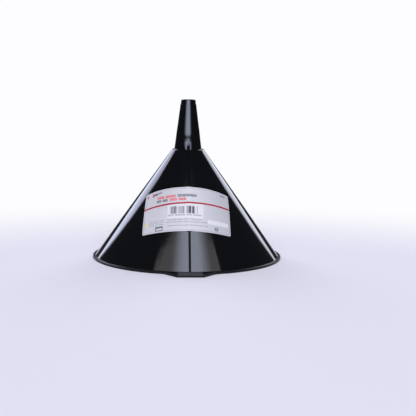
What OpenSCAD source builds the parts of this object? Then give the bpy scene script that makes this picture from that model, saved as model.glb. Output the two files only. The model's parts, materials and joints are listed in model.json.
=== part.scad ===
// Moulded plastic funnel, standing on its mouth with the spout up.
// Origin: centre of the mouth, in the plane that the rim rests on.
// +Z runs up the axis to the outlet. The tab, the rib and the label face -Y.

/* [Bowl] */
// Outside diameter of the rim
rim_d = 171; // [155:1:190]
// Height of the rim band
rim_t = 2; // [1.6:0.1:3]
// How far the rim stands out past the foot of the cone
rim_lip = 2.2; // [1.5:0.1:3]
// Radius of the hollow fillet between the cone and the rim
rim_fillet_r = 1.2; // [1:0.1:2.5]
// Height of the shoulder where the cone ends
shoulder_z = 98.5; // [85:0.1:110]
// Outside diameter of the cone at the shoulder
shoulder_d = 28.2; // [26.5:0.1:34]
// Thickness of the cone's wall, square to its surface
wall_t = 1.5; // [1.2:0.1:2]

/* [Spout] */
// Height of the outlet above the mouth
total_h = 143; // [130:1:160]
// Outside diameter of the spout at the shoulder
spout_base_d = 24.5; // [23:0.1:25]
// Outside diameter of the spout at the outlet
tip_d = 12.7; // [11.5:0.1:14]
// Length of the slightly thinner nose at the outlet
nose_l = 3.8; // [3:0.1:6]
// Depth of the step where the nose begins
nose_step = 0.2; // [0.1:0.05:0.3]
// Diameter of the parallel bore at the outlet
outlet_d = 10.2; // [8:0.1:10.4]
// Length of that bore
outlet_l = 3; // [2:0.5:5]
// Thickness of the spout's wall at its base
spout_wall = 1.3; // [1.1:0.1:1.6]

/* [Rib] */
// Width of the rib along the front of the cone
rib_w = 1.9; // [1.2:0.1:3]
// Height of the rib above the cone
rib_h = 0.6; // [0.4:0.1:1.2]

/* [Tab] */
// How far the tab stands out past the rim
tab_out = 11; // [9:0.5:16]
// Width of the tab along its front edge
tab_front_w = 23; // [21:0.5:30]
// Width of the tab where it meets the rim
tab_root_w = 45; // [36:0.5:50]
// Thickness of the tab
tab_t = 2; // [1.6:0.1:2]
// Radius of the tab's two front corners
tab_corner_r = 2; // [1:0.5:3]
// Width of the raised, textured pad across the middle of the tab
pad_w = 21; // [18:0.5:22]
// How far the pad stands above the tab
pad_h = 0.3; // [0.2:0.1:0.5]

/* [Label] */
// Width of the label before it is wrapped round the cone
label_w = 80; // [60:1:90]
// Height of the label
label_h = 43; // [30:1:50]
// Thickness of the label
label_t = 0.2; // [0.15:0.05:0.3]
// Radius of the label's corners
label_corner_r = 1.5; // [1:0.5:3]
// Distance from the cone's apex to the middle of the label, along the cone
label_slant = 82.9; // [75:0.1:88]
// Turn of the label round the axis, away from the rib
label_turn = -2.5; // [-5:0.5:5]
// Half the width of the hollow where the label bridges the rib
label_tent = 5; // [3:0.5:8]

/* [Hidden] */
$fn = 96;
rim_r = rim_d / 2;
cone_r = rim_r - rim_lip;
shoulder_r = shoulder_d / 2;
slope = (cone_r - shoulder_r) / (shoulder_z - rim_t);
half_angle = atan(slope);
apex_z = shoulder_z + shoulder_r / slope;
wall_r = wall_t / cos(half_angle);
mouth_r = cone_r - wall_r;
throat_z = shoulder_z - wall_t;
throat_r = spout_base_d / 2 - spout_wall;
nose_z = total_h - nose_l;
spout_slope = (spout_base_d / 2 - tip_d / 2 - nose_step) / (total_h - shoulder_z);
nose_r = spout_base_d / 2 - spout_slope * (nose_z - shoulder_z);
rib_foot_z = 1;
rib_head_z = shoulder_z + 3;
rib_crown_w = 0.3;
rib_root = wall_t - 0.1;
rib_flank = (rib_w - rib_crown_w) / 2 / rib_h;
pad_inset = 0.3;
pad_root = 1;
label_gap = 0.03;
label_columns = 56;
label_rows = 8;

// Outside radius of the cone at a height, and inside radius at a height
function cone_at(z) = cone_r - slope * (z - rim_t);
function bowl_at(z) = cone_at(z) - wall_r;

// Points of an arc in the plane, from one angle to another
function arc(c, r, a0, a1, n = 6) = [
    for (i = [0:n])
        let (a = a0 + (a1 - a0) * i / n)
        [c[0] + r * cos(a), c[1] + r * sin(a)]
];

// Hollow fillet that takes the top of the rim up into the cone
function rim_fillet() =
    let (run = rim_fillet_r * tan(45 - half_angle / 2))
    arc([cone_r + run, rim_t + rim_fillet_r], rim_fillet_r, 270, 180 + half_angle);

// Half section of the bowl, shoulder and spout, turned about the axis
module shell_section() {
    polygon([
        [mouth_r, 0],
        [rim_r, 0],
        [rim_r, rim_t],
        each rim_fillet(),
        [shoulder_r, shoulder_z],
        [spout_base_d / 2, shoulder_z],
        [nose_r, nose_z],
        [nose_r - nose_step, nose_z],
        [tip_d / 2, total_h],
        [outlet_d / 2, total_h],
        [outlet_d / 2, total_h - outlet_l],
        [throat_r, throat_z],
        [bowl_at(throat_z), throat_z],
        [mouth_r, rim_t]
    ]);
}

// Flat tab in the plane of the rim, narrowing to a straight front edge
module tab_outline() {
    front_y = -rim_r - tab_out;
    root_x = tab_root_w / 2;
    root_y = -sqrt(rim_r * rim_r - root_x * root_x);
    side_angle = atan2(root_y - front_y, root_x - tab_front_w / 2);
    corner_x = tab_front_w / 2 - tab_corner_r * tan(side_angle / 2);
    corner_y = front_y + tab_corner_r;
    polygon(concat(
        [[-root_x, root_y]],
        arc([-corner_x, corner_y], tab_corner_r, 270 - side_angle, 270),
        arc([corner_x, corner_y], tab_corner_r, 270, 270 + side_angle),
        [[root_x, root_y]]
    ));
}

// Low rib along the cone's front, rooted in the wall, from the rim to the foot of the spout
module rib() {
    rib_l = (rib_head_z - rib_foot_z) / cos(half_angle);
    root_x = rib_w / 2 + rib_root * rib_flank;
    translate([0, -cone_at(rib_foot_z), rib_foot_z]) {
        rotate([-half_angle, 0, 0]) {
            linear_extrude(rib_l) {
                polygon([
                    [-root_x, rib_root],
                    [-rib_crown_w / 2, -rib_h],
                    [rib_crown_w / 2, -rib_h],
                    [root_x, rib_root]
                ]);
            }
        }
    }
}

// Tab with its raised grip pad, which starts inside the foot of the cone
module grip_tab() {
    pad_back = cone_r - pad_root;
    pad_front = rim_r + tab_out - pad_inset;
    linear_extrude(tab_t) tab_outline();
    translate([-pad_w / 2, -pad_front, tab_t / 2]) {
        cube([pad_w, pad_front - pad_back, tab_t / 2 + pad_h]);
    }
}

// One moulding: bowl, shoulder, spout, rim, rib and tab
module funnel_body() {
    color([0.04, 0.04, 0.045]) {
        rotate_extrude() shell_section();
        rib();
        grip_tab();
    }
}

// Where a column of the label lies: even steps, drawn together at the two corners
function label_u(i) =
    let (t = i / label_columns, flat = label_w / 2 - label_corner_r)
    (i == 0 || i == label_columns) ? sign(t - 0.5) * label_w / 2
    : (i == 1 || i == label_columns - 1) ? sign(t - 0.5) * (flat + 0.92 * label_corner_r)
    : (i == 2 || i == label_columns - 2) ? sign(t - 0.5) * (flat + 0.6 * label_corner_r)
    : flat * (2 * (i - 3) / (label_columns - 6) - 1);

// How much the rounded corners shorten a column at its top and at its bottom
function label_cut(u) =
    let (past = max(0, abs(u) - label_w / 2 + label_corner_r))
    label_corner_r - sqrt(max(0, label_corner_r * label_corner_r - past * past));

// Height of the label above the cone, at a distance from the rib's middle
function label_lift(x) =
    let (k = min(1, abs(x) / label_tent))
    label_gap + rib_h * pow(1 - k * k, 2);

// A point of the flat label, rolled onto the cone and raised above it
function on_cone(u, v, raise) =
    let (
        s = sqrt(u * u + v * v),
        turn = atan2(u, v) / sin(half_angle) + label_turn,
        across = s * sin(half_angle) * sin(turn),
        up = raise + (cos(turn) > 0 ? label_lift(across) : label_gap),
        r = s * sin(half_angle) + up * cos(half_angle),
        z = apex_z - s * cos(half_angle) + up * sin(half_angle)
    )
    [r * sin(turn), -r * cos(turn), z];

// Printed label, wrapped round the front of the cone and over the rib
module label() {
    across = label_rows + 1;
    layer = (label_columns + 1) * across;
    points = [
        for (raise = [0, label_t], i = [0:label_columns], j = [0:label_rows])
            let (
                u = label_u(i),
                half_v = label_h / 2 - label_cut(u),
                v = label_slant + half_v * (2 * j / label_rows - 1)
            )
            on_cone(u, v, raise)
    ];
    function at(side, i, j) = side * layer + i * across + j;
    faces = concat(
        [
            for (i = [0:label_columns - 1], j = [0:label_rows - 1])
                each [
                    [at(0, i, j), at(0, i, j + 1), at(0, i + 1, j + 1)],
                    [at(0, i, j), at(0, i + 1, j + 1), at(0, i + 1, j)],
                    [at(1, i, j), at(1, i + 1, j + 1), at(1, i, j + 1)],
                    [at(1, i, j), at(1, i + 1, j), at(1, i + 1, j + 1)]
                ]
        ],
        [
            for (i = [0:label_columns - 1])
                each [
                    [at(0, i, 0), at(0, i + 1, 0), at(1, i + 1, 0), at(1, i, 0)],
                    [at(0, i + 1, label_rows), at(0, i, label_rows),
                     at(1, i, label_rows), at(1, i + 1, label_rows)]
                ]
        ],
        [
            for (j = [0:label_rows - 1])
                each [
                    [at(0, 0, j + 1), at(0, 0, j), at(1, 0, j), at(1, 0, j + 1)],
                    [at(0, label_columns, j), at(0, label_columns, j + 1),
                     at(1, label_columns, j + 1), at(1, label_columns, j)]
                ]
        ]
    );
    color([0.8, 0.8, 0.82]) polyhedron(points, faces);
}

funnel_body();
label();
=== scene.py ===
import json
import math
import random

import bpy
from mathutils import Matrix, Vector
from mathutils.geometry import delaunay_2d_cdt


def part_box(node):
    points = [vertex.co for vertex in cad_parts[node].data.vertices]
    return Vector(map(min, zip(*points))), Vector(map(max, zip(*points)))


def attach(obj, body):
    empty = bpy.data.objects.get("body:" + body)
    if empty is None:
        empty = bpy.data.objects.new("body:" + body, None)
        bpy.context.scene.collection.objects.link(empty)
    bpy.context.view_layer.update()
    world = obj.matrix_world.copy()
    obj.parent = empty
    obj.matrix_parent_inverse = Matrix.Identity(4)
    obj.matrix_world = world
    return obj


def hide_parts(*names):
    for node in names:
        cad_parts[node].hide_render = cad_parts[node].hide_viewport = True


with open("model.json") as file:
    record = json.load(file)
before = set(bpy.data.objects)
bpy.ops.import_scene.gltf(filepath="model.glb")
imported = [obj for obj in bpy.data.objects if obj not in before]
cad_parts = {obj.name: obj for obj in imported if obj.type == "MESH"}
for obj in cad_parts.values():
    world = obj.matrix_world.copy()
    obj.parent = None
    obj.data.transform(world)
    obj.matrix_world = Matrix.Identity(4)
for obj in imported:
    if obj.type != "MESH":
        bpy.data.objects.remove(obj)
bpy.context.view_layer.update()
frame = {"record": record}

# The funnel stands on its mouth: z is up the axis to the outlet, and the tab, rib and label face -Y.
# Sizes are in metres where no comment says otherwise.
MM = 0.001
body_low, body_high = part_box("funnel_body")
mounts = {m["name"]: m for m in frame["record"]["mounts"]}

# Bowl and rim
RIM_R = min(body_high.x, body_high.y)
RIM_T = 2 * MM
CONE_R = RIM_R - 2.2 * MM
RIM_FILLET = 0.4 * MM
# Where the lip's flat top begins, just clear of the rib's foot
LIP_FOOT_R = CONE_R + 0.82 * MM
SHOULDER_Z = 98.5 * MM
SHOULDER_R = 14.1 * MM
TOTAL_H = body_high.z
MOUTH_R = mounts["mouth"]["dims"]["r_mm"] * MM
SLOPE = (CONE_R - SHOULDER_R) / (SHOULDER_Z - RIM_T)
HALF_ANGLE = math.atan(SLOPE)
APEX_Z = SHOULDER_Z + SHOULDER_R / SLOPE
# Spout
SPOUT_R = 12.25 * MM
TIP_R = 6.35 * MM
NOSE_L = 3.8 * MM
NOSE_STEP = 0.2 * MM
OUTLET_R = mounts["outlet"]["dims"]["r_mm"] * MM
OUTLET_L = mounts["outlet"]["dims"]["length_mm"] * MM
THROAT_R = 10.95 * MM
THROAT_Z = 97 * MM
THROAT_LEDGE_R = 13.33 * MM
# Faint swell of the spout, a bell curve up the axis
SWELL_Z = 114 * MM
SWELL_H = 0.09 * MM
SWELL_L = 4 * MM
SWELL_FROM = 1 * MM
# Radii along the half section
SHOULDER_EDGE = 0.1 * MM
SPOUT_FOOT = 0.3 * MM
NOSE_EDGE = 0.08 * MM
TIP_EDGE = 0.3 * MM
OUTLET_EDGE = 0.25 * MM
BORE_BLEND = 2 * MM
THROAT_EDGE = 0.6 * MM
BOWL_FOOT = 1.5 * MM
# Flat run under the rim, past the mouth's rounded edge
UNDER_RUN = 0.2 * MM
# Rib up the front, and the narrower web where it runs on up the spout
RIB_W = 1.9 * MM
RIB_H = 0.6 * MM
RIB_CROWN = 0.08 * MM
WEB_SPREAD = 0.5
WEB_BLEND = 0.3 * MM
# How far past the shoulder's edge the rib starts to narrow, and is all web
WEB_START = 0.3 * MM
WEB_FULL = 1.5 * MM
# Hollow fillet beside the web, at the spout's foot
FOOT_HOLLOW_R = 1.2 * MM
FOOT_HOLLOW_X = 3 * MM
FOOT_HOLLOW_FADE = 1.6 * MM
# Tab
TAB_FRONT = -body_low.y
TAB_FRONT_W = 23 * MM
TAB_ROOT_W = 45 * MM
TAB_CORNER = 2 * MM
TAB_ROOT_FILLET = 5 * MM
TAB_ROOT_RUN = 3 * MM
PAD_W = 21 * MM
PAD_H = 0.3 * MM
PAD_CORNER = 0.6 * MM
PAD_GAP = 0.12 * MM
PAD_MARGIN = 0.15 * MM
# The pad's rounded edge: how far in, in millimetres, and what share of its height
PAD_EDGE = ((0, 0), (0.06, 0.6), (0.12, 0.87), (0.25, 1))
# Rounding of the rim's and the tab's edges, and the degrees between its rows
EDGE = 0.4 * MM
EDGE_STEP = 15
# Label
LABEL_W = 80 * MM
LABEL_H = 43 * MM
LABEL_T = 0.2 * MM
LABEL_CORNER = 1.5 * MM
LABEL_SLANT = 82.9 * MM
LABEL_TURN = math.radians(-2.5)
LABEL_TENT = 5 * MM
LABEL_GAP = 0.03 * MM

# How finely the mesh is divided. RIB_COLUMNS are distances from the rib's middle, in millimetres.
COLUMNS = 288
RIB_COLUMNS = (0, 0.05, 0.1, 0.18, 0.3, 0.5, 0.7, 0.88, 0.95, 1.02, 1.1, 1.3, 1.6, 2.0, 2.4, 2.9, 3.5)
FINE_STEP = 0.2 * MM
COARSE_STEP = 4 * MM
FINE_BELOW = 1 * MM
FINE_ABOVE = 5 * MM
FINE_BEHIND = 2 * MM
# How far the extra row beside each arc of the half section stands off
SUPPORT = 0.15 * MM
# The first rows of the half section have the lip's finish, and the last before the outlet no rib
FILLET_ROWS = 8
NOSE_ROWS = 12
PAD_BACK_STEPS = 12
PAD_CORNER_STEPS = 4
LABEL_ROWS = 36
LABEL_HALF_COLUMNS = 60
LABEL_CORNER_STEPS = 8
# Edges that turn by more than this many degrees are drawn sharp
BODY_SHARP = 35
LABEL_SHARP = 40
# A difference too small to matter
TINY = 1e-6


# ---------------------------------------------------------------- outlines

def rounded_line(corners, steps=6):
    """A polyline through corners (a, b, radius), with an arc of that radius at each inner corner."""
    points = [Vector(corners[0][:2])]
    for before, corner, after in zip(corners, corners[1:], corners[2:]):
        middle, radius = Vector(corner[:2]), corner[2]
        back = (Vector(before[:2]) - middle).normalized()
        ahead = (Vector(after[:2]) - middle).normalized()
        half = math.acos(max(-1, min(1, back.dot(ahead)))) / 2
        reach = radius / math.tan(half)
        centre = middle + (back + ahead).normalized() * radius / math.sin(half)
        start, end = middle + back * reach - centre, middle + ahead * reach - centre
        first = math.atan2(start.y, start.x)
        turn = math.remainder(math.atan2(end.y, end.x) - first, 2 * math.pi)
        points.append(middle + back * (reach + SUPPORT))
        for i in range(steps + 1):
            angle = first + turn * i / steps
            points.append(centre + Vector((math.cos(angle), math.sin(angle))) * radius)
        points.append(middle + ahead * (reach + SUPPORT))
    points.append(Vector(corners[-1][:2]))
    return points


def filled_in(points, step_at):
    """The same polyline with points added wherever a gap is longer than step_at(point)."""
    line = [points[0]]
    for a, b in zip(points, points[1:]):
        count = max(1, math.ceil((b - a).length / step_at(a.lerp(b, 0.5)) - TINY))
        line += [a.lerp(b, i / count) for i in range(1, count + 1)]
    return line


def wall_profile():
    """Half section of the moulding: up the outside from the lip, through the outlet, down inside."""
    nose_z = TOTAL_H - NOSE_L
    nose_r = SPOUT_R - (SPOUT_R - TIP_R - NOSE_STEP) * (nose_z - SHOULDER_Z) / (TOTAL_H - SHOULDER_Z)
    corners = [
        (LIP_FOOT_R, RIM_T, 0),
        (CONE_R, RIM_T, RIM_FILLET),
        (SHOULDER_R, SHOULDER_Z, SHOULDER_EDGE),
        (SPOUT_R, SHOULDER_Z, SPOUT_FOOT),
        (nose_r, nose_z, NOSE_EDGE),
        (nose_r - NOSE_STEP, nose_z, NOSE_EDGE),
        (TIP_R, TOTAL_H, TIP_EDGE),
        (OUTLET_R, TOTAL_H, OUTLET_EDGE),
        (OUTLET_R, TOTAL_H - OUTLET_L, BORE_BLEND),
        (THROAT_R, THROAT_Z, THROAT_EDGE),
        (THROAT_LEDGE_R, THROAT_Z, THROAT_EDGE),
        (MOUTH_R, RIM_T, BOWL_FOOT),
        (MOUTH_R, 0, EDGE),
        (MOUTH_R + EDGE + UNDER_RUN, 0, 0),
    ]

    def step_at(point):
        near_shoulder = -FINE_BELOW < point.y - SHOULDER_Z < FINE_ABOVE
        outside = point.x > THROAT_LEDGE_R - FINE_BEHIND
        return FINE_STEP if near_shoulder and outside else COARSE_STEP

    line = filled_in(rounded_line(corners), step_at)
    for point in line[:tip_index(line)]:
        if point.y > SHOULDER_Z + SWELL_FROM:
            point.x += SWELL_H * math.exp(-((point.y - SWELL_Z) / SWELL_L) ** 2)
    return line


def tip_index(profile):
    """Index of the first point at the outlet's height: all before it are on the outside."""
    return next(i for i, point in enumerate(profile) if point.y > TOTAL_H - TINY * MM)


def rib_height(x):
    """Height of the rib above the cone at a distance x from its middle; below zero past its foot."""
    spread = math.hypot(RIB_W / 2, RIB_CROWN) - RIB_CROWN
    return RIB_H * (1 - (math.hypot(x, RIB_CROWN) - RIB_CROWN) / spread)


def with_rib(x, r, z):
    """Where a point of the outside wall goes to make the rib, the web and the hollow beside it."""
    beyond = max(0, SHOULDER_R - r + z - SHOULDER_Z) if z >= SHOULDER_Z - TINY else 0
    near_edge = fading(beyond, WEB_START, WEB_FULL)
    spread = WEB_SPREAD + (1 - WEB_SPREAD) * near_edge
    line = SHOULDER_R - SLOPE * (z - SHOULDER_Z) + rib_height(x / spread) / math.cos(HALF_ANGLE)
    rise = (line - r) / (1 + SLOPE)
    push = max(0, rise) + (1 - near_edge) * max(0, WEB_BLEND - abs(rise)) ** 2 / WEB_BLEND / 4
    if beyond:
        beside_web = fading(abs(x), FOOT_HOLLOW_X, FOOT_HOLLOW_X + FOOT_HOLLOW_FADE)
        push = max(push, hollow_push(r, z) * beside_web)
    return r + push, z + push


def fading(value, start, end):
    """1 up to start, 0 from end, and smooth between."""
    t = max(0, min(1, (value - start) / (end - start)))
    return 1 - t * t * (3 - 2 * t)


def hollow_push(r, z):
    """How far out and up a point at the spout's foot goes to lie on the hollow fillet there."""
    q = Vector((r - SPOUT_R - FOOT_HOLLOW_R, z - SHOULDER_Z - FOOT_HOLLOW_R))
    if q.x > 0 or q.y > 0:
        return 0
    along = (q.x + q.y) / 2
    inside = along ** 2 - (q.length_squared - FOOT_HOLLOW_R ** 2) / 2
    return max(0, -along - math.sqrt(max(0, inside)))


def column_angles(r):
    """Angles of the mesh's columns at a radius: set distances across the rib, then even steps."""
    front = [math.asin(min(0.99, x * MM / r)) for x in RIB_COLUMNS]
    rest = COLUMNS - 2 * len(front) + 1
    gap = (2 * math.pi - 2 * front[-1]) / (rest + 1)
    middle = [front[-1] + gap * (i + 1) for i in range(rest)]
    return front + middle + [2 * math.pi - a for a in front[:0:-1]]


def on_circle(r, angle):
    return Vector((r * math.sin(angle), -r * math.cos(angle)))


def tab_half():
    """Right half of the tab's outline, from the rim to the middle of its front edge."""
    root_x = TAB_ROOT_W / 2
    root_y = -math.sqrt(RIM_R ** 2 - root_x ** 2)
    root = Vector((root_x, root_y))
    along_rim = Vector((-root_y, root_x)).normalized()
    before = root + along_rim * TAB_ROOT_RUN
    line = rounded_line([
        (*before, 0),
        (*root, TAB_ROOT_FILLET),
        (TAB_FRONT_W / 2, -TAB_FRONT, TAB_CORNER),
        (0, -TAB_FRONT, 0),
    ])
    # The run along the rim only shapes the root's fillet
    return line[2:]


def rim_outline():
    """The outline of the rim and the tab, anticlockwise from above, from the tab's middle."""
    half = tab_half()
    left = [Vector((-p.x, p.y)) for p in half]
    start = math.atan2(half[0].x, -half[0].y)
    count = round(COLUMNS * (1 - start / math.pi))
    arc = [start + (2 * math.pi - 2 * start) * (i + 1) / (count + 1) for i in range(count)]
    right = half[::-1]
    return right + [on_circle(RIM_R, a) for a in arc] + left[:-1]


def inset_loop(loop, distance):
    """A closed anticlockwise loop moved inwards by a distance."""
    moved = []
    for before, point, after in zip(loop[-1:] + loop[:-1], loop, loop[1:] + loop[:1]):
        along = ((after - point).normalized() + (point - before).normalized()).normalized()
        moved.append(point + Vector((-along.y, along.x)) * distance)
    return moved


def pad_loop(inset):
    """Outline of the pad, anticlockwise, drawn in by a distance. Its back follows the rim."""
    x = PAD_W / 2 - inset
    front = -(TAB_FRONT - EDGE - PAD_MARGIN) + inset
    back_r = LIP_FOOT_R + PAD_GAP + inset
    turn = math.asin(x / back_r)
    back = [on_circle(back_r, turn * (1 - 2 * i / PAD_BACK_STEPS)) for i in range(PAD_BACK_STEPS + 1)]
    front_corners = []
    for side, first in ((-1, 180), (1, 270)):
        centre = Vector((side * (x - PAD_CORNER), front + PAD_CORNER))
        for i in range(PAD_CORNER_STEPS + 1):
            angle = math.radians(first + 90 * i / PAD_CORNER_STEPS)
            front_corners.append(centre + Vector((math.cos(angle), math.sin(angle))) * PAD_CORNER)
    return front_corners + back


def is_inside(point, loop):
    """Whether a point lies inside a closed loop, by counting the sides to its right."""
    crossings = 0
    for a, b in zip(loop, loop[1:] + loop[:1]):
        if (a.y > point.y) == (b.y > point.y):
            continue
        side_x = a.x + (point.y - a.y) * (b.x - a.x) / (b.y - a.y)
        crossings += point.x < side_x
    return crossings % 2 == 1


# ---------------------------------------------------------------- meshes

# The moulding's three finishes, in the order of its materials
GLOSS, SATIN, GRAIN = range(3)


class Shell:
    """Vertices and faces of one closed mesh, with each face's finish and whether it is flat."""

    def __init__(self):
        self.points = []
        self.faces = []
        self.flat = []
        self.finish = []

    def ring(self, points_2d, z):
        first = len(self.points)
        self.points += [(p.x, p.y, z) for p in points_2d]
        return list(range(first, len(self.points)))

    def strip(self, lower, upper, finish=GLOSS):
        """Quads between two closed rings with the same number of vertices."""
        for i in range(len(lower)):
            j = (i + 1) % len(lower)
            self.add([lower[i], lower[j], upper[j], upper[i]], False, finish)

    def add(self, face, flat, finish):
        self.faces.append(face)
        self.flat.append(flat)
        self.finish.append(finish)

    def sheet(self, rings, up, finish):
        """Flat triangles inside the first ring and outside the others, which stay open."""
        index = [i for ring in rings for i in ring]
        place = {v: k for k, v in enumerate(index)}
        edges = [(place[r[i]], place[r[(i + 1) % len(r)]]) for r in rings for i in range(len(r))]
        flat_points = [Vector(self.points[i][:2]) / MM for i in index]
        made = delaunay_2d_cdt(flat_points, edges, [], 2, TINY)
        back = [index[origin[0]] for origin in made[3]]
        holes = [[flat_points[place[v]] for v in ring] for ring in rings[1:]]
        for triangle in made[2]:
            middle = sum((made[0][i] for i in triangle), Vector((0, 0))) / 3
            if any(is_inside(middle, hole) for hole in holes):
                continue
            face = [back[i] for i in triangle]
            self.add(face if up else face[::-1], True, finish)

    def object(self, name):
        mesh = bpy.data.meshes.new(name)
        mesh.from_pydata(self.points, [], self.faces)
        mesh.validate()
        mesh.polygons.foreach_set("use_smooth", [True] * len(self.faces))
        mesh.polygons.foreach_set("material_index", self.finish)
        mesh.set_sharp_from_angle(angle=math.radians(BODY_SHARP))
        sides = {}
        for face, flat in zip(mesh.polygons, self.flat):
            for key in face.edge_keys:
                sides.setdefault(key, set()).add(flat)
        for edge in mesh.edges:
            if len(sides[edge.key]) == 2:
                edge.use_edge_sharp = True
        made = bpy.data.objects.new(name, mesh)
        bpy.context.scene.collection.objects.link(made)
        return made


def moulded_body():
    """The whole moulding as one closed skin: walls, rib, rim, tab and pad."""
    shell = Shell()
    profile = wall_profile()
    nose = tip_index(profile) - NOSE_ROWS
    rows = []
    for i, (r, z) in enumerate(profile):
        ring = []
        for angle in column_angles(r):
            x = r * math.sin(angle)
            facing = math.cos(angle) > 0
            new_r, new_z = with_rib(x, r, z) if facing and i < nose else (r, z)
            y = -math.sqrt(max(0, new_r * new_r - x * x)) if facing else -new_r * math.cos(angle)
            shell.points.append((x if facing else new_r * math.sin(angle), y, new_z))
            ring.append(len(shell.points) - 1)
        rows.append(ring)
    for i, (lower, upper) in enumerate(zip(rows, rows[1:])):
        shell.strip(lower, upper, SATIN if i < FILLET_ROWS else GLOSS)
    outline = rim_outline()
    edge_rows = []
    for turn in range(0, 91, EDGE_STEP):
        depth = EDGE * (1 - math.sin(math.radians(turn)))
        drop = EDGE * (1 - math.cos(math.radians(turn)))
        edge_rows.append((depth, RIM_T - drop))
    edge_rows += [(depth, RIM_T - z) for depth, z in edge_rows[::-1]]
    edges = [shell.ring(inset_loop(outline, depth), z) for depth, z in edge_rows]
    for upper, lower in zip(edges, edges[1:]):
        shell.strip(lower, upper, SATIN)
    pads = [shell.ring(pad_loop(inset * MM), RIM_T + PAD_H * up) for inset, up in PAD_EDGE]
    for lower, upper in zip(pads, pads[1:]):
        shell.strip(lower, upper, GRAIN)
    shell.sheet([edges[0], rows[0], pads[0]], True, SATIN)
    shell.sheet([pads[-1]], True, GRAIN)
    shell.sheet([edges[-1], rows[-1]], False, SATIN)
    return shell.object("moulded_body")


def label_half_height(u):
    """Half the label's height at a distance from its middle: less at the rounded corners."""
    past = max(0, abs(u) - LABEL_W / 2 + LABEL_CORNER)
    return LABEL_H / 2 - LABEL_CORNER + math.sqrt(max(0, LABEL_CORNER ** 2 - past ** 2))


def on_cone(u, v, raised):
    """A point of the flat label, v from the cone's apex, rolled onto the cone and over the rib."""
    s = math.hypot(u, v)
    turn = math.atan2(u, v) / math.sin(HALF_ANGLE) + LABEL_TURN
    across = s * math.sin(HALF_ANGLE) * math.sin(turn)
    tent = max(0, 1 - (across / LABEL_TENT) ** 2) ** 2 if math.cos(turn) > 0 else 0
    up = raised + LABEL_GAP + RIB_H * tent
    r = s * math.sin(HALF_ANGLE) + up * math.cos(HALF_ANGLE)
    z = APEX_Z - s * math.cos(HALF_ANGLE) + up * math.sin(HALF_ANGLE)
    return Vector((r * math.sin(turn), -r * math.cos(turn), z))


def label_columns():
    """Distances from the label's middle: even steps, then round each corner."""
    flat = LABEL_W / 2 - LABEL_CORNER
    half = [flat * i / LABEL_HALF_COLUMNS for i in range(LABEL_HALF_COLUMNS + 1)]
    for i in range(1, LABEL_CORNER_STEPS + 1):
        half.append(flat + LABEL_CORNER * math.sin(math.radians(90 * i / LABEL_CORNER_STEPS)))
    return [-u for u in half[:0:-1]] + half


def printed_label():
    """The label as one thin closed sheet. Its map holds places on the flat label, in millimetres."""
    columns = label_columns()
    rows = LABEL_ROWS
    points, places = [], []
    for raised in (0, LABEL_T):
        for u in columns:
            half = label_half_height(u)
            for j in range(rows + 1):
                v = half * (2 * j / rows - 1)
                points.append(on_cone(u, LABEL_SLANT + v, raised))
                places.append((u / MM, v / MM))
    layer = len(columns) * (rows + 1)

    def at(side, i, j):
        return side * layer + i * (rows + 1) + j

    faces = []
    last = len(columns) - 1
    for i in range(last):
        for j in range(rows):
            faces.append([at(1, i, j), at(1, i, j + 1), at(1, i + 1, j + 1), at(1, i + 1, j)])
            faces.append([at(0, i, j), at(0, i + 1, j), at(0, i + 1, j + 1), at(0, i, j + 1)])
        faces.append([at(0, i, 0), at(1, i, 0), at(1, i + 1, 0), at(0, i + 1, 0)])
        faces.append([at(0, i, rows), at(0, i + 1, rows), at(1, i + 1, rows), at(1, i, rows)])
    for j in range(rows):
        faces.append([at(0, 0, j), at(0, 0, j + 1), at(1, 0, j + 1), at(1, 0, j)])
        faces.append([at(0, last, j), at(1, last, j), at(1, last, j + 1), at(0, last, j + 1)])
    mesh = bpy.data.meshes.new("printed_label")
    mesh.from_pydata(points, [], faces)
    mesh.polygons.foreach_set("use_smooth", [True] * len(faces))
    mesh.set_sharp_from_angle(angle=math.radians(LABEL_SHARP))
    flat_map = mesh.uv_layers.new(name="flat_mm")
    for loop in mesh.loops:
        flat_map.data[loop.index].uv = places[loop.vertex_index]
    made = bpy.data.objects.new("printed_label", mesh)
    bpy.context.scene.collection.objects.link(made)
    return made


# ---------------------------------------------------------------- node helpers

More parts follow.
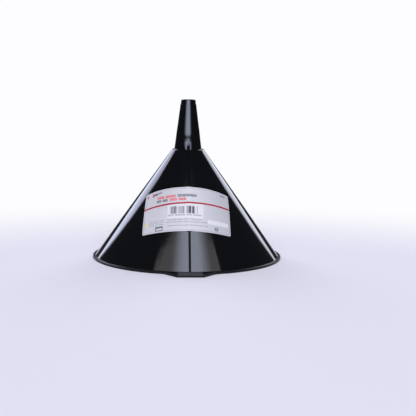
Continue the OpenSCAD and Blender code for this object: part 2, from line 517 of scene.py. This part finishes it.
class Graph:
    """Short ways to write a node tree's arithmetic."""

    def __init__(self, tree):
        self.tree = tree
        tree.nodes.clear()

    def node(self, kind, **settings):
        made = self.tree.nodes.new(kind)
        for name, value in settings.items():
            setattr(made, name, value)
        return made

    def put(self, socket, value):
        if isinstance(value, bpy.types.NodeSocket):
            self.tree.links.new(value, socket)
        elif value is not None:
            socket.default_value = value

    def math(self, operation, a, b=None, c=None, clamp=False):
        made = self.node("ShaderNodeMath", operation=operation, use_clamp=clamp)
        for socket, value in zip(made.inputs, (a, b, c)):
            self.put(socket, value)
        return made.outputs[0]

    def ramp(self, x, low, high, first=0.0, last=1.0):
        """first below low, last above high, and smooth between."""
        made = self.node("ShaderNodeMapRange", interpolation_type="SMOOTHSTEP")
        for socket, value in zip(made.inputs, (x, low, high, first, last)):
            self.put(socket, value)
        return made.outputs[0]

    def between(self, x, low, high, soft):
        """1 from low to high and 0 outside, each edge spread over soft to either side."""
        rise = self.ramp(x, low - soft, low + soft)
        fall = self.ramp(x, high - soft, high + soft, 1.0, 0.0)
        return self.math("MULTIPLY", rise, fall)

    def distance(self, u, v, centre=(0.0, 0.0)):
        """Distance of (u, v) from a centre."""
        square_u = self.math("POWER", self.math("ADD", u, -centre[0]), 2.0)
        square_v = self.math("POWER", self.math("ADD", v, -centre[1]), 2.0)
        return self.math("SQRT", self.math("ADD", square_u, square_v))

    def mix(self, amount, a, b):
        made = self.node("ShaderNodeMix", data_type="RGBA")
        self.put(made.inputs[0], amount)
        self.put(made.inputs[6], a)
        self.put(made.inputs[7], b)
        return made.outputs[2]

    def split(self, vector):
        made = self.node("ShaderNodeSeparateXYZ")
        self.put(made.inputs[0], vector)
        return made.outputs

    def noise(self, vector, scale, detail=2.0, rough=0.5):
        made = self.node("ShaderNodeTexNoise")
        self.put(made.inputs["Vector"], vector)
        made.inputs["Scale"].default_value = scale
        made.inputs["Detail"].default_value = detail
        made.inputs["Roughness"].default_value = rough
        return made.outputs[0]

    def bump(self, height, distance, strength=1.0, normal=None):
        made = self.node("ShaderNodeBump")
        made.inputs["Strength"].default_value = strength
        made.inputs["Distance"].default_value = distance
        self.put(made.inputs["Height"], height)
        self.put(made.inputs["Normal"], normal)
        return made.outputs[0]


def new_material(name):
    material = bpy.data.materials.new(name)
    material.use_nodes = True
    graph = Graph(material.node_tree)
    shader = graph.node("ShaderNodeBsdfPrincipled")
    output = graph.node("ShaderNodeOutputMaterial")
    graph.put(output.inputs[0], shader.outputs[0])
    return material, graph, shader


# ---------------------------------------------------------------- materials
# Noise scales are per metre on the mouldings, and per millimetre on the flat label.

# Darkest and lightest base colour of each black finish
GLOSS_TONES = (0.0032, 0.0032, 0.0036, 1), (0.016, 0.016, 0.017, 1)
SATIN_TONES = (0.003, 0.003, 0.0035, 1), (0.006, 0.006, 0.0065, 1)
GRAIN_TONES = (0.045, 0.045, 0.047, 1), (0.06, 0.06, 0.062, 1)


def gloss_black():
    """Polished black moulding: faint flow marks along the draw, fine handling marks, thin dust."""
    material, graph, shader = new_material("gloss_black")
    place = graph.node("ShaderNodeTexCoord").outputs["Object"]
    x, y, z = graph.split(place)
    angle = graph.math("ARCTAN2", x, y)
    flow = graph.node("ShaderNodeCombineXYZ")
    # Changes fast round the axis and slowly up it
    graph.put(flow.inputs[0], graph.math("COSINE", angle))
    graph.put(flow.inputs[1], graph.math("SINE", angle))
    graph.put(flow.inputs[2], graph.math("MULTIPLY", z, 4.0))
    streaks = graph.noise(flow.outputs[0], 9.0, 3.0)
    cloud = graph.noise(place, 45.0, 3.0)
    dust = graph.noise(place, 2600.0, 1.0)
    specks = graph.ramp(dust, 0.70, 0.80)
    marks = graph.math("MULTIPLY", specks, graph.ramp(cloud, 0.45, 0.7))
    graph.put(shader.inputs["Base Color"], graph.mix(marks, *GLOSS_TONES))
    worn = graph.math("MULTIPLY_ADD", cloud, 0.04, 0.03)
    graph.put(shader.inputs["Roughness"], graph.math("MULTIPLY_ADD", marks, 0.15, worn))
    shader.inputs["IOR"].default_value = 1.5
    wave = graph.bump(streaks, 0.06 * MM)
    graph.put(shader.inputs["Normal"], graph.bump(cloud, 0.04 * MM, 1.0, wave))
    return material


def satin_black():
    """The duller black of the rim and the tab."""
    material, graph, shader = new_material("satin_black")
    place = graph.node("ShaderNodeTexCoord").outputs["Object"]
    cloud = graph.noise(place, 90.0, 3.0)
    graph.put(shader.inputs["Base Color"], graph.mix(cloud, *SATIN_TONES))
    graph.put(shader.inputs["Roughness"], graph.math("MULTIPLY_ADD", cloud, 0.1, 0.36))
    shader.inputs["IOR"].default_value = 1.3
    graph.put(shader.inputs["Normal"], graph.bump(graph.noise(place, 1500.0, 2.0), 0.02 * MM))
    return material


def grained_black():
    """Fine moulded grain on the tab's pad."""
    material, graph, shader = new_material("grained_black")
    place = graph.node("ShaderNodeTexCoord").outputs["Object"]
    grain = graph.noise(place, 1900.0, 2.0)
    cloud = graph.noise(place, 120.0, 2.0)
    graph.put(shader.inputs["Base Color"], graph.mix(cloud, *GRAIN_TONES))
    graph.put(shader.inputs["Roughness"], graph.math("MULTIPLY_ADD", cloud, 0.1, 0.5))
    shader.inputs["IOR"].default_value = 1.5
    graph.put(shader.inputs["Normal"], graph.bump(grain, 0.08 * MM))
    return material


def box_mask(graph, u, v, box, soft=0.12):
    """1 inside the box (left, top, right, bottom) of the flat label, in millimetres."""
    left, top, right, bottom = box
    across, down = graph.between(u, left, right, soft), graph.between(v, top, bottom, soft)
    return graph.math("MULTIPLY", across, down)


def blocks(graph, u, pitch, share, phase=0.0):
    """Upright blocks of a fixed pitch, of which share is filled."""
    cell = graph.math("FRACT", graph.math("MULTIPLY_ADD", u, 1 / pitch, phase))
    return graph.ramp(cell, share - 0.08, share + 0.08, 1.0, 0.0)


def greeked(graph, u, v, box, words, pitch, seed):
    """A row of plain blocks in the place of a line of print: words of random length, no letters."""
    left, top, right, bottom = box
    pick = random.Random(seed)
    shares = [pick.uniform(0.6, 1.4) for _ in range(words)]
    gap = 1.1 * pitch
    scale = (right - left - gap * (words - 1)) / sum(shares)
    row = graph.between(v, top, bottom, 0.15)
    line, start = None, left
    for share in shares:
        word = graph.between(u, start, start + share * scale, 0.12)
        line = word if line is None else graph.math("MAXIMUM", line, word)
        start += share * scale + gap
    filled = blocks(graph, u, pitch, 0.72, pick.random())
    return graph.math("MULTIPLY", graph.math("MULTIPLY", line, row), filled)


def stripes_mask(graph, u, v, box):
    """A block of upright bars of random widths, which encode nothing, with a paler gap between."""
    inside = box_mask(graph, u, v, box, 0.06)
    cells = graph.node("ShaderNodeTexWhiteNoise", noise_dimensions="1D")
    graph.put(cells.inputs["W"], graph.math("FLOOR", graph.math("MULTIPLY", u, 1 / BAR_W)))
    bars = graph.math("GREATER_THAN", cells.outputs["Value"], BAR_GAPS)
    middle = (box[0] + box[2]) / 2
    gap = graph.between(u, middle + PALE_GAP[0], middle + PALE_GAP[1], 0.3)
    bars_inside = graph.math("MULTIPLY", inside, bars)
    return graph.math("MULTIPLY", bars_inside, graph.math("MULTIPLY_ADD", gap, -0.75, 1.0))


# Colours of the film, its marks and its painted shade, and its inks. The pale panel tone also paints a
# highlight over the rib.
FILM_TONES = (0.52, 0.48, 0.455, 1), (0.59, 0.545, 0.515, 1)
FILM_SPECK = (0.40, 0.37, 0.36, 1)
# Painted shade, mixed into the film toward its right
PAINTED_FILM_SHADE = (0.36, 0.355, 0.345, 1)
RED = (0.36, 0.001, 0.012, 1)
BRIGHT_RED = (0.70, 0.06, 0.05, 1)
INK = (0.035, 0.035, 0.045, 1)
GREY_INK = (0.17, 0.17, 0.18, 1)
# Pale print panels; the same tone along the label's middle is a painted highlight over the rib
PANEL_AND_HIGHLIGHT = (0.65, 0.60, 0.555, 1)
YELLOW = (0.75, 0.60, 0.08, 1)

# The print, in millimetres across and down from the flat label's middle. Boxes are left, top,
# right, bottom.
FRAME_INSET = 1.1
FRAME_LINE = 0.3
# The stripe is a shallow arc: its highest point, its bend and half its width
STRIPE_TOP = (21.0, -6.2)
STRIPE_BEND = 0.00045
STRIPE_HALF = 0.78
# The bars: their box, one cell's width, the share left blank, and the pale gap from their middle
BARS = (-14, -2.8, 9.8, 4.4)
BAR_W = 0.36
BAR_GAPS = 0.42
PALE_GAP = (-0.6, 1.6)
ROUND_MARK = (26.4, 17.4)
ROUND_RADII = (0.8, 1.7)
PANELS = (-17, -5.4, 14.6, 8.8), (18.5, 9.3, 37.6, 13.4)
# Rows of blocks in the place of words: box, words, pitch, seed, ink, strength
HEADINGS = (
    ((-27.2, -14.4, -9.6, -11.8), 2, 1.15, 3, BRIGHT_RED, 0.95),
    ((-8.2, -14.6, 8.5, -12.0), 1, 1.15, 4, INK, 0.85),
    ((-27.7, -11.0, -16.8, -8.4), 2, 1.15, 5, INK, 0.85),
    ((-15.2, -11.1, -0.6, -8.5), 2, 1.15, 6, BRIGHT_RED, 0.95),
    ((30.5, -18.9, 36.2, -17.5), 1, 0.8, 7, INK, 0.85),
)
UNDER_BARS = ((-16.6, 5.0, 13.2, 6.5), 4, 1.0, 8, INK, 0.55)
SMALL_PRINT = (
    ((-17, 9.6, 13, 10.5), 7, 0.6, 20, GREY_INK, 0.75),
    ((-18, 12.0, 18, 12.9), 7, 0.6, 21, GREY_INK, 0.75),
    ((-17, 15.4, 19, 16.3), 8, 0.6, 22, GREY_INK, 0.75),
)
SIDE_PRINT = tuple(
    ((-33.5, 9.6 + 1.9 * row, -20, 10.4 + 1.9 * row), 4, 0.6, 30 + row, GREY_INK, 0.7)
    for row in range(3)
)
# Small plain marks: box, softness, ink, strength
MARKS = (
    ((-38.2, -18.6, -36.2, -16.2), 0.12, RED, 0.8),
    ((-32.3, -19.2, -30.0, -15.8), 0.4, RED, 0.85),
    ((-30.0, -18.6, -26.6, -16.8), 0.12, INK, 0.85),
    ((-26.6, -19.0, -22.5, -17.8), 0.12, INK, 0.7),
    ((-27.6, 15.6, -20.8, 20.0), 0.12, INK, 0.8),
    ((-26.6, 17.4, -21.4, 19.2), 0.12, PANEL_AND_HIGHLIGHT, 0.85),
    ((-37.6, 10.0, -35.0, 13.6), 0.6, YELLOW, 0.7),
)


def label_film():
    """Silver-grey printed film: stripe, blocks for print, bars that encode nothing, thin inset line,
    painted shade and a painted highlight.
    """
    material, graph, shader = new_material("label_film")
    flat = graph.node("ShaderNodeUVMap", uv_map="flat_mm").outputs[0]
    u, v, _ = graph.split(flat)
    grain = graph.noise(flat, 3.0, 3.0)
    cloud = graph.noise(flat, 0.06, 2.0)
    colour = graph.mix(cloud, *FILM_TONES)
    colour = graph.mix(graph.math("MULTIPLY", grain, 0.12), colour, FILM_SPECK)
    # Painted shade, darker toward the right, and a painted highlight, lighter where it bridges the rib
    colour = graph.mix(graph.ramp(u, 4, 40, 0.0, 0.45), colour, PAINTED_FILM_SHADE)
    from_middle = graph.math("ABSOLUTE", u)
    # Painted highlight along the middle, where the film bridges the rib
    colour = graph.mix(graph.ramp(from_middle, 0, 9, 0.3, 0.0), colour, PANEL_AND_HIGHLIGHT)

    def ink(mask, tone, amount=1.0):
        nonlocal colour
        colour = graph.mix(graph.math("MULTIPLY", mask, amount), colour, tone)

    def framed(inset):
        x, y = LABEL_W / 2 / MM - inset, LABEL_H / 2 / MM - inset
        return box_mask(graph, u, v, (-x, -y, x, y), 0.06)

    ink(graph.math("SUBTRACT", framed(FRAME_INSET), framed(FRAME_INSET + FRAME_LINE)), GREY_INK, 0.7)
    for box in PANELS:
        ink(box_mask(graph, u, v, box), PANEL_AND_HIGHLIGHT)
    from_top = graph.math("POWER", graph.math("ADD", u, -STRIPE_TOP[0]), 2.0)
    stripe_v = graph.math("MULTIPLY_ADD", from_top, STRIPE_BEND, STRIPE_TOP[1])
    offset = graph.math("SUBTRACT", v, stripe_v)
    ink(graph.between(offset, -STRIPE_HALF, STRIPE_HALF, 0.1), RED)
    ink(stripes_mask(graph, u, v, BARS), INK, 0.95)
    for box, words, pitch, seed, tone, amount in (*HEADINGS, UNDER_BARS, *SMALL_PRINT, *SIDE_PRINT):
        ink(greeked(graph, u, v, box, words, pitch, seed), tone, amount)
    for box, soft, tone, amount in MARKS:
        ink(box_mask(graph, u, v, box, soft), tone, amount)
    ink(graph.between(graph.distance(u, v, ROUND_MARK), *ROUND_RADII, 0.15), INK, 0.85)
    graph.put(shader.inputs["Base Color"], colour)
    graph.put(shader.inputs["Roughness"], graph.math("MULTIPLY_ADD", cloud, 0.08, 0.36))
    shader.inputs["IOR"].default_value = 1.45
    graph.put(shader.inputs["Normal"], graph.bump(graph.noise(flat, 0.25, 2.0), 0.12 * MM))
    return material


# ---------------------------------------------------------------- studio

DOME_R = 5.0
FLOOR_R = 0.75
FLOOR_CENTRE = (0, -0.30, 0)
# Distances from the floor's middle between which it fades into the surround
FLOOR_FADE = 0.33, 0.66
FLOOR_TONE = (0.83, 0.77, 0.75, 1)
WHITE = (0.982, 0.982, 1.0, 1)

# Directions that bound the lights, in degrees. Azimuth 0 is toward -Y and grows toward +X.
# A pair is the two angles between which an edge fades, and a lean is how far the edge's azimuth
# shifts for each degree of elevation. FRONT_DIMMING adds the brightness at its two angles.
FRONT_TOP, FRONT_ARCH, FRONT_SOFT = 63.3, -0.0028, 0.7
FRONT_LEFT, FRONT_LEFT_LEAN = (-46, -14), -0.17
FRONT_RIGHT, FRONT_RIGHT_LEAN = (8, 34), -0.2
FRONT_FOOT = 8.6, 9.4
FRONT_DIMMING = 10, 60, 1.0, 0.68
BAND_LEFT, BAND_RIGHT, BAND_SOFT = -58.5, 56, 1.5
BAND_FOOT = 35, 48
BACK_FOOT, BACK_TOP = (7, 9.5), (40, 46)
BACK_LEFT, BACK_RIGHT, BACK_SOFT = -169, 166, 2
LEFT_EDGE, LEFT_LEAN = (-159.3, -157.3), -1.06
RIGHT_EDGE, RIGHT_LEAN = (150.3, 153.3), 0.8

# The lights: strength and tint
CORE_LIGHT = 6.0, (0.84, 0.94, 1.2, 1)
BAND_LIGHT = 1.2, (1.03, 0.98, 1.05, 1)
LEFT_LIGHT = 3.4, (0.93, 0.98, 1.26, 1)
RIGHT_LIGHT = 3.2, (0.94, 0.98, 1.16, 1)
ROOM_LIGHT = 0.04, (0.95, 1.0, 1.1, 1)

# The camera: place and lens in millimetres, turns in degrees
LENS = 98.6
CAMERA_AT = (-34.5, -1026.65, 193.07)
CAMERA_YAW = -2.975
CAMERA_PITCH = -8.2105
CAMERA_ROLL = 0.7334


def studio_world():
    """Soft boxes in a dark room, each a range of directions seen from the funnel."""
    world = bpy.data.worlds.new("studio")
    bpy.context.scene.world = world
    world.use_nodes = True
    graph = Graph(world.node_tree)
    x, y, z = graph.split(graph.node("ShaderNodeTexCoord").outputs["Generated"])
    azimuth = graph.math("DEGREES", graph.math("ARCTAN2", x, graph.math("MULTIPLY", y, -1.0)))
    elevation = graph.math("DEGREES", graph.math("ARCSINE", z))

    def all_of(*masks):
        product = masks[0]
        for mask in masks[1:]:
            product = graph.math("MULTIPLY", product, mask)
        return product

    def leaning(lean):
        return graph.math("MULTIPLY_ADD", elevation, lean, azimuth)

    # The front box has an arched top edge and two leaning sides
    aside = graph.math("POWER", graph.math("ABSOLUTE", azimuth), 2.0)
    top = graph.math("MULTIPLY_ADD", aside, FRONT_ARCH, FRONT_TOP)
    over = graph.math("SUBTRACT", elevation, top)
    below_top = graph.ramp(over, -FRONT_SOFT, FRONT_SOFT, 1.0, 0.0)
    core = all_of(
        graph.ramp(leaning(FRONT_LEFT_LEAN), *FRONT_LEFT),
        graph.ramp(leaning(FRONT_RIGHT_LEAN), *FRONT_RIGHT, 1.0, 0.0),
        graph.ramp(elevation, *FRONT_FOOT),
        graph.ramp(elevation, *FRONT_DIMMING),
        below_top,
    )
    # A dimmer, wider band in its upper part
    band_sides = graph.between(azimuth, BAND_LEFT, BAND_RIGHT, BAND_SOFT)
    band = all_of(band_sides, graph.ramp(elevation, *BAND_FOOT), below_top)
    # Two boxes behind, each cut off by a slanting edge
    above_foot = graph.ramp(elevation, *BACK_FOOT)
    back_sides = graph.between(azimuth, BACK_LEFT, BACK_RIGHT, BACK_SOFT)
    bounds = all_of(graph.ramp(elevation, *BACK_TOP, 1.0, 0.0), back_sides)
    left = all_of(graph.ramp(leaning(LEFT_LEAN), *LEFT_EDGE, 1.0, 0.0), above_foot, bounds)
    right = all_of(graph.ramp(leaning(RIGHT_LEAN), *RIGHT_EDGE), above_foot, bounds)

    def light(mask, strength, tone):
        shader = graph.node("ShaderNodeBackground")
        graph.put(shader.inputs[0], tone)
        graph.put(shader.inputs[1], graph.math("MULTIPLY", mask, strength))
        return shader.outputs[0]

    parts = [
        light(core, *CORE_LIGHT),
        light(band, *BAND_LIGHT),
        light(left, *LEFT_LIGHT),
        light(right, *RIGHT_LIGHT),
        light(1.0, *ROOM_LIGHT),
    ]
    total = parts[0]
    for part in parts[1:]:
        both = graph.node("ShaderNodeAddShader")
        graph.put(both.inputs[0], total)
        graph.put(both.inputs[1], part)
        total = both.outputs[0]
    graph.put(graph.node("ShaderNodeOutputWorld").inputs[0], total)


def emission_only(name, tone):
    """A surface of one even tone that no light changes."""
    material = bpy.data.materials.new(name)
    material.use_nodes = True
    graph = Graph(material.node_tree)
    glow = graph.node("ShaderNodeEmission")
    graph.put(glow.inputs[0], tone)
    graph.put(graph.node("ShaderNodeOutputMaterial").inputs[0], glow.outputs[0])
    return material


def pale_floor_material():
    """Matte and pale under the funnel, fading into the white surround."""
    material = bpy.data.materials.new("pale_floor")
    material.use_nodes = True
    graph = Graph(material.node_tree)
    x, y, _ = graph.split(graph.node("ShaderNodeTexCoord").outputs["Object"])
    fade = graph.ramp(graph.distance(x, y), *FLOOR_FADE)
    matte = graph.node("ShaderNodeBsdfDiffuse")
    graph.put(matte.inputs[0], FLOOR_TONE)
    glow = graph.node("ShaderNodeEmission")
    graph.put(glow.inputs[0], WHITE)
    both = graph.node("ShaderNodeMixShader")
    graph.put(both.inputs[0], fade)
    graph.put(both.inputs[1], matte.outputs[0])
    graph.put(both.inputs[2], glow.outputs[0])
    graph.put(graph.node("ShaderNodeOutputMaterial").inputs[0], both.outputs[0])
    return material


def make_surround():
    """Floor, and a white dome that only the camera sees: it gives no light and no reflection."""
    bpy.ops.mesh.primitive_circle_add(vertices=96, radius=FLOOR_R, fill_type="NGON",
                                      location=FLOOR_CENTRE)
    floor = bpy.context.object
    floor.name = "floor"
    floor.data.materials.append(pale_floor_material())
    bpy.ops.mesh.primitive_uv_sphere_add(segments=64, ring_count=32, radius=DOME_R)
    dome = bpy.context.object
    dome.name = "backdrop"
    dome.data.materials.append(emission_only("white_surround", WHITE))
    for kind in ("diffuse", "glossy", "transmission", "volume_scatter", "shadow"):
        setattr(dome, "visible_" + kind, False)


def make_camera():
    """The camera in front and a little above, with a slight roll."""
    data = bpy.data.cameras.new("camera")
    data.lens = LENS
    data.sensor_width = 36
    data.clip_start = 0.05
    data.clip_end = 4 * DOME_R
    camera = bpy.data.objects.new("camera", data)
    bpy.context.scene.collection.objects.link(camera)
    camera.matrix_world = (
        Matrix.Translation(Vector(CAMERA_AT) * MM)
        @ Matrix.Rotation(math.radians(CAMERA_YAW), 4, "Z")
        @ Matrix.Rotation(math.radians(90 + CAMERA_PITCH), 4, "X")
        @ Matrix.Rotation(math.radians(CAMERA_ROLL), 4, "Z")
    )
    bpy.context.scene.camera = camera


body = moulded_body()
for made in (gloss_black(), satin_black(), grained_black()):
    body.data.materials.append(made)
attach(body, "root")
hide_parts("funnel_body")

label = printed_label()
label.data.materials.append(label_film())
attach(label, "root")
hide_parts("label")

studio_world()
make_surround()
make_camera()
bpy.context.scene.view_settings.view_transform = "Standard"
bpy.context.scene.view_settings.look = "None"
